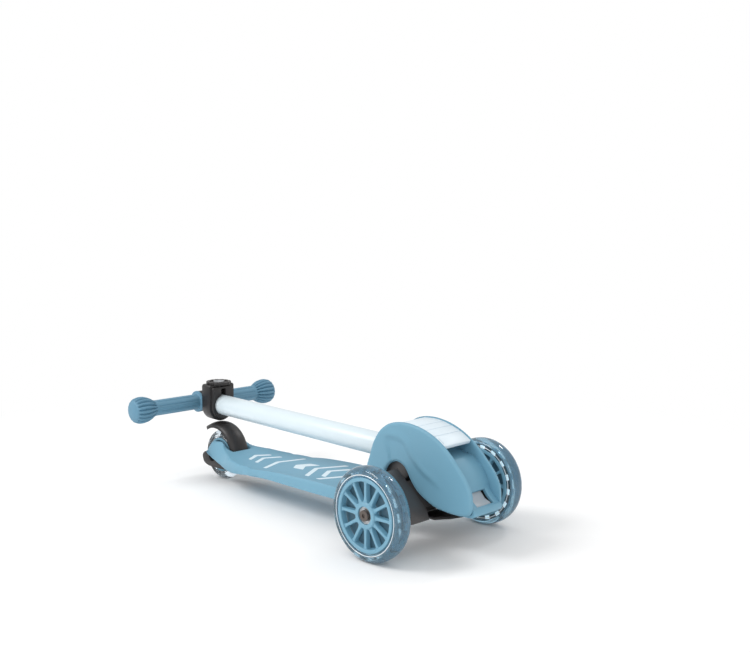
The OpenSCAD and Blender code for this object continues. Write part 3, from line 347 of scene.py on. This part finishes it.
# Place and radius of each boss that reaches in to the frame
bosses = [(-45, 53, 9.0), (-5, 85, 4.4), (60, 28, 4.6), (52, 22, 5.5), (20, 50, 5.5), (-80, 8, 5.5)]
cheekCurve = [(-95, -1.5), (-93, 15), (-89.5, 32), (-84, 47), (-78.5, 62.5), (-71, 75.5), (-62, 85.5), (-50, 93),
              (-35, 97.3), (-18, 98.6), (-2, 97.2), (12, 94.2), (27, 88.8), (39, 82.6), (51, 74.4), (61, 66),
              (71, 55.6), (80, 46), (87, 36), (91.3, 27), (92.7, 17), (92.5, 7), (90, 0.5), (84, -3.5), (76, -5),
              (64, -5.5), (50, -5), (39, -4), (29, -2), (19.5, 1.5), (9, 6.5), (0, 12.5), (-7, 19.5), (-12.6, 27),
              (-17, 34), (-22, 40), (-29, 44), (-37, 45), (-46, 41), (-53, 33), (-59, 20), (-63, 8), (-64.5, -1.5)]
creaseCurve = [(-64, 75), (-54, 79), (-44, 80), (-35, 80), (-24, 77.5), (-17, 72.8), (-13, 66.5), (-9, 61.5), (-5, 56),
               (2, 50), (9, 44), (17, 39), (26, 35), (39, 28), (54, 20)]
cheekRing = evenly(catmull(cheekCurve), cheek["ringStep"], True)
creaseLine = evenly(catmull(creaseCurve), cheek["creaseStep"])


def cheekFace(flat, dist):
    away, side, along = lineDistance(flat, creaseLine)
    left = len(creaseLine) * cheek["creaseStep"] - along
    fade = smoothStep(along / cheek["fadeIn"]) * smoothStep(left / cheek["fadeOut"])
    behind = cheek["behind"] * smoothStep((away - cheek["behindFrom"]) / cheek["behindWidth"]) ** cheek["behindPower"]
    before = cheek["before"] * smoothStep(away / cheek["beforeWidth"])
    depth = fade * np.where(side < 0, behind, before)
    return cheek["outer"] - roundDrop(dist, cheek["rim"]) - depth


def cheekBack(flat, dist):
    return cheek["inner"] + roundDrop(dist, cheek["backRim"])


for name, sideSign in (("housing_right", -1), ("housing_left", 1)):
    bm = shapedPlate(cheekRing, cheek["rows"], np.arange(*cheek["spanX"], cheek["grid"]),
                     np.arange(*cheek["spanZ"], cheek["grid"]), cheekFace, cheekBack,
                     lambda x, z, h: frontAxle + Vector((x, sideSign * h, z)))
    bossTo = cheek["inner"] + cheek["bossIn"]
    for x, z, radius in bosses:
        spot = frontAxle + Vector((x, sideSign * (cheek["bossFrom"] + bossTo) / 2, z))
        bmesh.ops.create_cone(bm, cap_ends=True, segments=48, radius1=radius, radius2=radius,
                              depth=bossTo - cheek["bossFrom"],
                              matrix=Matrix.Translation(spot) @ Matrix.Rotation(math.pi / 2, 4, "X"))
    makePiece(name + "_shell", bm, name, sharp=60.0)
print("housing made")

# Wheels: a clear tyre around a spoked core. The lamps inside the tyre are the part's own, with their edges rounded.
wheel = {"radius": 60.0, "half": 12.5, "tread": 7.0, "rim": 47.0, "rimThick": 5.0, "hub": 17.0, "bore": 11.05,
         "coreHalf": 12.0, "web": 2.0, "spokes": 12, "spokeWidth": 3.6, "spokeHalf": 10.4, "spokeRound": 0.7,
         "bead": 50.2, "beadHighlightReach": 0.5, "beadHighlightDepth": 0.6, "steps": 160}
rearWheel = {"radius": 40.0, "half": 11.0, "tread": 7.0, "rim": 27.0, "rimThick": 4.0, "hub": 14.0, "bore": 11.05,
             "coreHalf": 10.5, "web": 2.0, "bead": 29.6}


# Half of a tyre's section from the rim to the tread, with a fine raised bead beside the rim
def tyreSide(spec):
    half, rim, bead, shoulder = spec["half"], spec["rim"], spec["bead"], spec["radius"] - spec["tread"]
    side = [(rim + 0.05, half - 1.9), (rim + 0.5, half - 1.3), (bead - 1.0, half - 1.1), (bead - 0.5, half - 0.5),
            (bead, half - 0.25), (bead + 0.5, half - 0.5), (bead + 0.9, half - 0.9)]
    arc = [(shoulder + spec["tread"] * math.sin(a), half * math.cos(a)) for a in np.radians(np.arange(6, 91, 6))]
    return side + arc


def tyreSection(spec):
    side = tyreSide(spec)
    return side + [(r, -s) for r, s in reversed(side[:-1])]


# Hub, web and rim are one moulding
def coreSection(spec):
    half, rim, hub, web, bore = spec["coreHalf"], spec["rim"], spec["hub"], spec["web"], spec["bore"]
    inner = rim - spec["rimThick"]
    side = [(bore, half - 0.6), (bore + 0.6, half), (hub - 1.2, half), (hub, half - 1.2), (hub + 0.4, web + 2.0),
            (hub + 2.0, web), (inner - 1.8, web), (inner - 0.3, web + 1.8), (inner, half - 0.8), (inner + 0.8, half),
            (rim - 0.7, half), (rim, half - 0.7)]
    return side + [(r, -s) for r, s in reversed(side)]


# One spoke with flared ends, then its copies round the hub
def addSpokes(bm, centre, spec):
    inner, outer, half = spec["hub"] - 1.2, spec["rim"] - spec["rimThick"] + 1.0, spec["spokeWidth"] / 2
    across = [(inner, half + 2.4), (inner + 2.4, half + 1.0), (inner + 5.5, half + 0.3), (outer - 5.0, half),
              (outer - 2.4, half + 0.7), (outer, half + 2.4)]
    loop = across + [(u, -v) for u, v in reversed(across)]
    known = set(bm.verts)
    base = bm.faces.new([bm.verts.new(centre + Vector((u, -spec["spokeHalf"], v))) for u, v in loop])
    made = bmesh.ops.extrude_face_region(bm, geom=[base], use_keep_orig=True)["geom"]
    top = [v for v in made if isinstance(v, bmesh.types.BMVert)]
    bmesh.ops.translate(bm, verts=top, vec=(0, 2 * spec["spokeHalf"], 0))
    new = [v for v in bm.verts if v not in known]
    flatEdges = [e for e in {e for v in new for e in v.link_edges} if abs(e.verts[0].co.y - e.verts[1].co.y) < 0.01]
    bmesh.ops.bevel(bm, geom=flatEdges, offset=spec["spokeRound"], segments=2, profile=0.5, affect="EDGES",
                    material=-1)
    new = [v for v in bm.verts if v not in known]
    geom = new + list({e for v in new for e in v.link_edges}) + list({f for v in new for f in v.link_faces})
    bmesh.ops.spin(bm, geom=geom, cent=centre, axis=(0, 1, 0), angle=2 * math.pi * (1 - 1 / spec["spokes"]),
                   steps=spec["spokes"] - 1, use_duplicate=True)


# Gives the faces on top of the tyre's beads their polished material, painted near white as a highlight
def paintBeadHighlight(tyre, centre, spec):
    tyre.data.materials.append(beadPaintedHighlight)
    for face in tyre.data.polygons:
        out = face.center / mm - centre
        radius = math.hypot(out.x, out.z)
        if abs(radius - spec["bead"]) < spec["beadHighlightReach"] and abs(out.y) > spec["half"] - spec["beadHighlightDepth"]:
            face.material_index = 1


for side, sideSign in (("right", -1), ("left", 1)):
    centre = frontAxle + Vector((0, sideSign * halfTrack, 0))
    bm = bmesh.new()
    spun(bm, tyreSection(wheel), centre, wheel["steps"])
    tyre = makePiece("tyre_" + side + "_cast", bm, "tyre_" + side, sharp=50.0)
    paintBeadHighlight(tyre, centre, wheel)
    bm = bmesh.new()
    spun(bm, coreSection(wheel), centre)
    addSpokes(bm, centre, wheel)
    makePiece("core_" + side, bm, "wheel_core_" + side)
bm = bmesh.new()
spun(bm, tyreSection(rearWheel), rearAxle)
makePiece("rear_tyre_cast", bm, "rear_tyre", sharp=50.0)
bm = bmesh.new()
spun(bm, coreSection(rearWheel), rearAxle)
makePiece("rear_core_skin", bm, "rear_core")
print("wheels made")

# Grips: flange, ribbed body and a fluted knob
grip = {"bore": 11.05, "flutes": 18, "fluteDepth": 3.6, "fluteWidth": 0.34, "stepsInFlute": 10, "ridges": 9,
        "ridge": 1.1, "ridgeWidth": 0.2, "fade": 5.0, "bodyStart": 19.0, "bodyEnd": 98.0, "knobStart": 98.0,
        "knobEnd": 137.0, "boreStart": 13.7, "boreEnd": 133.5, "boreSkin": 1.0}
# The handlebar lies at the end of the folded stem, which rises a little towards the rear
stem = {"tilt": math.radians(1.0), "pivot": Vector((-45.0, 0.0, 53.0)), "toBar": 458.0}
alongStem = Vector((-math.cos(stem["tilt"]), 0.0, math.sin(stem["tilt"])))
barMiddle = frontAxle + stem["pivot"] + alongStem * stem["toBar"]
gripLine = catmull([(12.7, 13.7), (16.9, 14.0), (17.3, 14.7), (17.3, 16.4), (16.9, 16.9), (15.4, 17.2), (13.8, 17.8),
                    (12.8, 19.2), (12.5, 21.0), (12.5, 40.0), (12.5, 60.0), (12.5, 80.0), (12.5, 94.0), (12.7, 98.0),
                    (14.0, 102.0), (16.2, 105.5), (18.1, 109.5), (19.6, 113.0), (20.6, 117.0), (21.0, 121.0),
                    (21.0, 125.0), (20.5, 128.5), (19.3, 132.0), (17.3, 134.8), (14.2, 136.8), (10.5, 138.1),
                    (6.0, 138.8), (0.0, 139.0)], 3)


# Presses the knob's flutes and the body's ridges into a spun grip
def pressGrip(bm):
    for vert in bm.verts:
        out = vert.co - barMiddle
        y, radius = abs(out.y), math.hypot(out.x, out.z)
        if radius < grip["bore"] + grip["boreSkin"] and y < grip["boreEnd"] + grip["boreSkin"]:
            continue
        turn = math.atan2(out.x, out.z) / (2 * math.pi)
        flute = (turn * grip["flutes"]) % 1.0
        ridge = (turn * grip["ridges"] + 0.25) % 1.0
        knob = smoothStep((y - grip["knobStart"]) / grip["fade"]) * smoothStep((grip["knobEnd"] - y) / grip["fade"])
        body = smoothStep((y - grip["bodyStart"]) / grip["fade"]) * smoothStep((grip["bodyEnd"] - y) / grip["fade"])
        cut = grip["fluteDepth"] * knob * max(0.0, 1 - min(flute, 1 - flute) / grip["fluteWidth"])
        cut += grip["ridge"] * body * max(0.0, 1 - min(ridge, 1 - ridge) / grip["ridgeWidth"])
        scale = 1 - float(cut) / max(radius, 1.0)
        vert.co = barMiddle + Vector((out.x * scale, out.y, out.z * scale))


for name, sideSign in (("grip_right", -1), ("grip_left", 1)):
    bm = bmesh.new()
    section = [(0.0, grip["boreEnd"]), (grip["bore"], grip["boreEnd"]), (grip["bore"], grip["boreStart"])] + gripLine
    spun(bm, [(r, sideSign * y) for r, y in section], barMiddle, grip["flutes"] * grip["stepsInFlute"], closed=False)
    bmesh.ops.remove_doubles(bm, verts=bm.verts, dist=0.005)
    pressGrip(bm)
    makePiece(name + "_rubber", bm, name, sharp=38.0)
print("grips made")

# Deck: rounded upper edges, a raised tail on both sides of the rear wheel, and ribbed hollows below
deck = {"front": -66.0, "back": -471.0, "half": 59.0, "rim": 3.6, "backRim": 1.5, "lip": 0.9, "lipFrom": 3.2,
        "lipWidth": 1.4, "skin": 4.0, "wall": 5.0, "slot": 18.3, "slotEnd": -403.0, "notchX": -92.05, "notch": 22.05,
        "bottom": -18.0, "flatFrom": -340.0, "thin": 4.0, "hollowBack": -363.0, "hollowFront": -98.0, "ribStep": 38.0,
        "rib": 3.0, "ribInner": 18.0, "ribsFrom": -343.0, "tongueBack": -150.3, "tongueFront": -88.0, "tongue": 17.3,
        "padBack": -154.0, "bossX": -401.5, "bossZ": -14.0, "bossR": 6.0, "thinEdge": 0.2, "rimShare": 0.6,
        "thinnest": 0.3, "ringStep": 2.0, "grid": 3.5, "rows": (0.4, 1.0, 2.0, 3.3, 4.9, 5.1)}
# The tail has a finer rim, no lip, and a flank that leans outwards. Before the tail the flank's cap is out of reach.
tail = {"front": -350.0, "rimTo": -380.0, "rimFrom": -400.0, "rim": 1.5, "rimGrowth": 3.5, "lipTo": -395.0,
        "blend": 40.0, "besideSlot": 6.0, "beforeSlot": 8.0}
flank = {"angle": math.radians(22.0), "y": 31.0, "z": -21.5, "soft": 2.2, "outOfReach": 60.0}
deckTop = [(-470, -15.5), (-468.5, -7), (-465, 0), (-458, 3.5), (-446, 5), (-434, 5.5), (-428, 4), (-422, -0.5),
           (-415, -4), (-404, -6), (-389, -7.5), (-374, -8.5), (-359, -9.5), (-310, -9.5), (-260, -5.5), (-200, -2.5),
           (-140, -1.5), (-66, -1.5)]
deckLow = [(-470, -15.5), (-454, -19), (-434, -25), (-409, -29.8), (-374, -30), (-300, -21), (-200, -18), (-66, -18)]
deckPlan = [(-471, 20), (-466, 25.5), (-457, 28.5), (-439, 30.5), (-414, 34.5), (-389, 42), (-359, 50), (-329, 54.5),
            (-290, 57.5), (-230, 59), (-150, 58.5), (-115, 56), (-92, 48), (-76, 38), (-66, 34)]
flankPlan = [(-473, 22), (-466, 25.5), (-457, 28.5), (-439, 30.5), (-414, 34.5), (-389, 44), (-369, 54), (-349, 66)]
deckTopLine, deckLowLine, flankLine = (np.array(catmull(line)) for line in (deckTop, deckLow, flankPlan))
sideLine = catmull(deckPlan)


def deckHigh(x):
    return np.interp(x, deckTopLine[:, 0], deckTopLine[:, 1])


def deckDeep(x):
    return np.interp(x, deckLowLine[:, 0], deckLowLine[:, 1])


# Height that the leaning flank of the tail allows
def flankCap(x, y):
    out = np.abs(y) - flank["y"]
    inset = np.interp(x, flankLine[:, 0], flankLine[:, 1]) - flank["y"]
    leaning = (inset - out * math.cos(flank["angle"])) / math.sin(flank["angle"])
    return flank["z"] + np.maximum(leaning, out * math.tan(flank["angle"]))


# The lower of two heights, with the corner between them rounded
def softMin(a, b, width):
    mix = np.clip(0.5 + (b - a) / (2 * width), 0.0, 1.0)
    return b * (1 - mix) + a * mix - width * mix * (1 - mix)


# Top of the deck, without its rim
def deckSurface(x, y):
    cap = np.where(x < tail["front"], flankCap(x, y), flank["outOfReach"])
    return softMin(deckHigh(x), cap, flank["soft"])


# Depth of the deck's middle below its raised lip
def lipDepth(x):
    return deck["lip"] * smoothStep((x - tail["lipTo"]) / tail["blend"])


def deckFace(flat, dist):
    x, y = flat[:, 0], flat[:, 1]
    high = deckSurface(x, y)
    rim = np.minimum(deck["rim"], np.clip(high - deckDeep(x), deck["thinEdge"], None) * deck["rimShare"])
    tailRim = tail["rim"] + tail["rimGrowth"] * smoothStep((x - tail["rimFrom"]) / tail["blend"])
    rim = np.where(x < tail["rimTo"], tailRim, rim)
    atSlot = (np.abs(y) < deck["slot"] + tail["besideSlot"]) & (x < deck["slotEnd"] + tail["beforeSlot"])
    rim = np.where(atSlot, tail["rim"], rim)
    lip = smoothStep((dist - deck["lipFrom"]) / deck["lipWidth"]) * lipDepth(x)
    return np.maximum(high - roundDrop(dist, rim) - lip, deckDeep(x) + deck["thinnest"])


def deckBack(flat, dist):
    x, y = flat[:, 0], np.abs(flat[:, 1])
    low = deckDeep(x) + roundDrop(dist, deck["backRim"]) * (deckHigh(x) - deckDeep(x) > deck["thin"])
    low = np.where(x > deck["flatFrom"], np.minimum(low, deck["bottom"]), low)
    past = (x - deck["hollowBack"]) % deck["ribStep"]
    onRib = (past < deck["rib"]) & (x > deck["ribsFrom"]) & (x < deck["padBack"])
    onRib |= (y > deck["ribInner"]) & (y < deck["ribInner"] + deck["rib"])
    onRib |= (x > deck["padBack"]) & (y < deck["ribInner"] + deck["rib"])
    hollow = (dist > deck["wall"]) & (x > deck["hollowBack"]) & (x < deck["hollowFront"]) & ~onRib
    hollow |= (y < deck["tongue"]) & (x > deck["tongueBack"]) & (x < deck["tongueFront"])
    low = np.where(hollow, deckHigh(x) - deck["skin"], low)
    overBoss = (np.abs(x - deck["bossX"]) < deck["bossR"]) & (y < deck["slot"])
    dome = deck["bossZ"] + np.sqrt(np.clip(deck["bossR"] ** 2 - (x - deck["bossX"]) ** 2, 0, None))
    return np.where(overBoss, np.maximum(low, dome), low)


# Rows of cuts on both sides of each wall, so that the walls stand upright
def beside(places, gap=0.12):
    return [place + side for place in places for side in (-gap, gap)]


ribs = np.arange(deck["hollowBack"] + deck["ribStep"], deck["padBack"], deck["ribStep"])
wallsX = [deck["hollowBack"], deck["hollowFront"], deck["padBack"], deck["tongueBack"]]
wallsX += list(ribs) + list(ribs + deck["rib"]) + [deck["bossX"] - deck["bossR"], deck["bossX"] + deck["bossR"]]
wallsY = [sign * (deck["ribInner"] + extra) for sign in (-1, 1) for extra in (0.0, deck["rib"])]
wallsY += [-deck["tongue"], deck["tongue"]]
notchRing = [(deck["front"], -deck["notch"]), (deck["notchX"], -deck["notch"]), (deck["notchX"], deck["notch"]),
             (deck["front"], deck["notch"])]
slotRing = [(deck["back"], deck["slot"]), (deck["slotEnd"], deck["slot"]), (deck["slotEnd"], -deck["slot"]),
            (deck["back"], -deck["slot"])]
deckRing = evenly([(x, -y) for x, y in sideLine] + notchRing + sideLine[::-1] + slotRing, deck["ringStep"], True)
cutsX = list(np.arange(deck["back"] + 1, deck["front"], deck["grid"])) + beside(wallsX)
cutsY = list(np.arange(-deck["half"], deck["half"], deck["grid"])) + beside(wallsY)
bm = shapedPlate(deckRing, deck["rows"], cutsX, cutsY, deckFace, deckBack,
                 lambda x, y, h: frontAxle + Vector((x, y, h)), fine=lambda x: x < tail["front"])
makePiece("deck_shell", bm, "deck_board", sharp=50.0)
print("deck made")

# Print on the deck: plain chevrons in white ink, each with its tip at x, the reach of its arms to the side and
# forwards, and its width
chevrons = [(-372, 21, 11, 7), (-353, 25, 13, 7), (-318, 40, 17, 8), (-272, 17, 14, 22), (-230, 40, 24, 9),
            (-202, 27, 17, 9), (-158, 42, -22, 8)]
ink = {"thick": 0.18, "sunk": 0.1, "round": 2.0, "grid": 4.0, "back": -400.0, "front": -120.0}


def printChevron(bm, tip, reach, sweep, width):
    corners = [(tip, 0), (tip + sweep, -reach), (tip + sweep + width, -reach), (tip + width, 0),
               (tip + sweep + width, reach), (tip + sweep, reach)]
    face = bm.faces.new([bm.verts.new((x, y, 0)) for x, y in corners])
    bmesh.ops.bevel(bm, geom=face.verts[:], offset=ink["round"], segments=3, profile=0.5, affect="VERTICES",
                    material=-1)


bm = bmesh.new()
mark = bm.faces.layers.int.new("inside")
for chevron in chevrons:
    printChevron(bm, *chevron)
for face in bm.faces:
    face[mark] = 1
gridCuts(bm, mark, np.arange(ink["back"], ink["front"], ink["grid"]), 0)
bmesh.ops.triangulate(bm, faces=[f for f in bm.faces if len(f.verts) > 4])
made = bmesh.ops.extrude_face_region(bm, geom=bm.faces[:], use_keep_orig=True)["geom"]
for vert in made:
    if isinstance(vert, bmesh.types.BMVert):
        vert.co.z = ink["thick"]
for vert in bm.verts:
    lift = float(deckHigh(vert.co.x) - lipDepth(vert.co.x)) - ink["sunk"]
    vert.co = frontAxle + Vector((vert.co.x, vert.co.y, lift + vert.co.z))
makePiece("deck_print", bm, "deck_board", look=whiteInk, replace=False)
print("print made")

# Every other piece is the part's own, with its sharp edges rounded to these widths
shaped = {"housing_right", "housing_left", "tyre_right", "tyre_left", "wheel_core_right", "wheel_core_left",
          "rear_tyre", "rear_core", "grip_right", "grip_left", "deck_board"}
widths = {"truck_beam": 1.6, "tube_clamp": 0.9, "brake_fender": 0.5, "release_lever": 0.5, "nose_channel": 0.8,
          "rear_bracket": 0.8, "chassis_frame": 0.8, "lock_knob": 0.5}
smallWidth = 0.3
for name in frame["nodes"]:
    if name not in shaped:
        rounded(name, widths.get(name, smallWidth))
print("small pieces made")


# White floor that takes the shadow near the scooter and grows evenly white farther out, as a lit studio sweep does
def studioFloor(name, lit, white):
    mat = newMaterial(name)
    coords = addNode(mat, "ShaderNodeTexCoord")
    away = addNode(mat, "ShaderNodeVectorMath", {"operation": "LENGTH"}, {0: coords.outputs["Object"]})
    share = addNode(mat, "ShaderNodeMapRange", {"interpolation_type": "SMOOTHSTEP"}, {
        "Value": away.outputs["Value"], "From Min": lit, "From Max": white, "To Min": 0.0, "To Max": 1.0})
    diffuse = addNode(mat, "ShaderNodeBsdfDiffuse", {}, {"Color": (1.0, 1.0, 1.0, 1.0)})
    glow = addNode(mat, "ShaderNodeEmission", {}, {"Strength": 1.0})
    mix = addNode(mat, "ShaderNodeMixShader", {}, {0: share.outputs["Result"], 1: diffuse.outputs["BSDF"],
                  2: glow.outputs["Emission"]})
    addNode(mat, "ShaderNodeOutputMaterial", {}, {"Surface": mix.outputs["Shader"]})
    return mat


# Distances from the scooter's middle, in metres
sweep = {"size": 12.0, "lit": 0.45, "white": 1.0}
bpy.ops.mesh.primitive_plane_add(size=sweep["size"], location=(0.0, 0.0, 0.0))
floor = bpy.context.object
floor.name = "floor"
floor.data.materials.append(studioFloor("white studio sweep", sweep["lit"], sweep["white"]))

# The world lights evenly from all round, and the camera and glass see it as plain white
worldLight = {"ambient": 0.75, "seen": 1.0}
world = bpy.data.worlds.new("studio")
bpy.context.scene.world = world
world.use_nodes = True
ambient = world.node_tree.nodes["Background"]
ambient.inputs["Color"].default_value = (1.0, 1.0, 1.0, 1.0)
path = addNode(world, "ShaderNodeLightPath")
seen = addNode(world, "ShaderNodeMath", {"operation": "MAXIMUM"}, {0: path.outputs["Is Camera Ray"],
               1: path.outputs["Is Transmission Ray"]})
strength = addNode(world, "ShaderNodeMapRange", {}, {"Value": seen.outputs[0], "To Min": worldLight["ambient"],
                   "To Max": worldLight["seen"]})
world.node_tree.links.new(strength.outputs["Result"], ambient.inputs["Strength"])


def areaLight(name, place, aim, size, power):
    data = bpy.data.lights.new(name, "AREA")
    data.shape = "DISK"
    data.size = size
    data.energy = power
    lamp = bpy.data.objects.new(name, data)
    bpy.context.collection.objects.link(lamp)
    lamp.location = place
    lamp.rotation_euler = (Vector(aim) - Vector(place)).to_track_quat("-Z", "Y").to_euler()


areaLight("key", (-1.0, -1.7, 2.0), (0.0, 0.0, 0.05), 1.4, 32.0)
areaLight("fill", (1.6, -1.5, 1.2), (0.1, 0.0, 0.1), 1.6, 6.0)
areaLight("rim", (0.1, 1.8, 1.9), (0.15, 0.0, 0.08), 0.4, 6.0)

# Camera at the photograph's angle, with its distance and the height that it looks at in metres
view = {"lens": 46.8, "sensor": 36.0, "azimuth": math.radians(45.0), "elevation": math.radians(6.2),
        "distance": 1.325, "behindAxle": 103.6, "height": 0.275}
cameraData = bpy.data.cameras.new("camera")
cameraData.lens = view["lens"]
cameraData.sensor_width = view["sensor"]
camera = bpy.data.objects.new("camera", cameraData)
bpy.context.collection.objects.link(camera)
aim = Vector(((frontAxle.x - view["behindAxle"]) * mm, 0.0, view["height"]))
level = math.cos(view["elevation"])
back = Vector((math.sin(view["azimuth"]) * level, -math.cos(view["azimuth"]) * level, math.sin(view["elevation"])))
camera.location = aim + back * view["distance"]
camera.rotation_euler = back.to_track_quat("Z", "Y").to_euler()
bpy.context.scene.camera = camera
bpy.context.scene.view_settings.view_transform = "Standard"

print("scene ready")
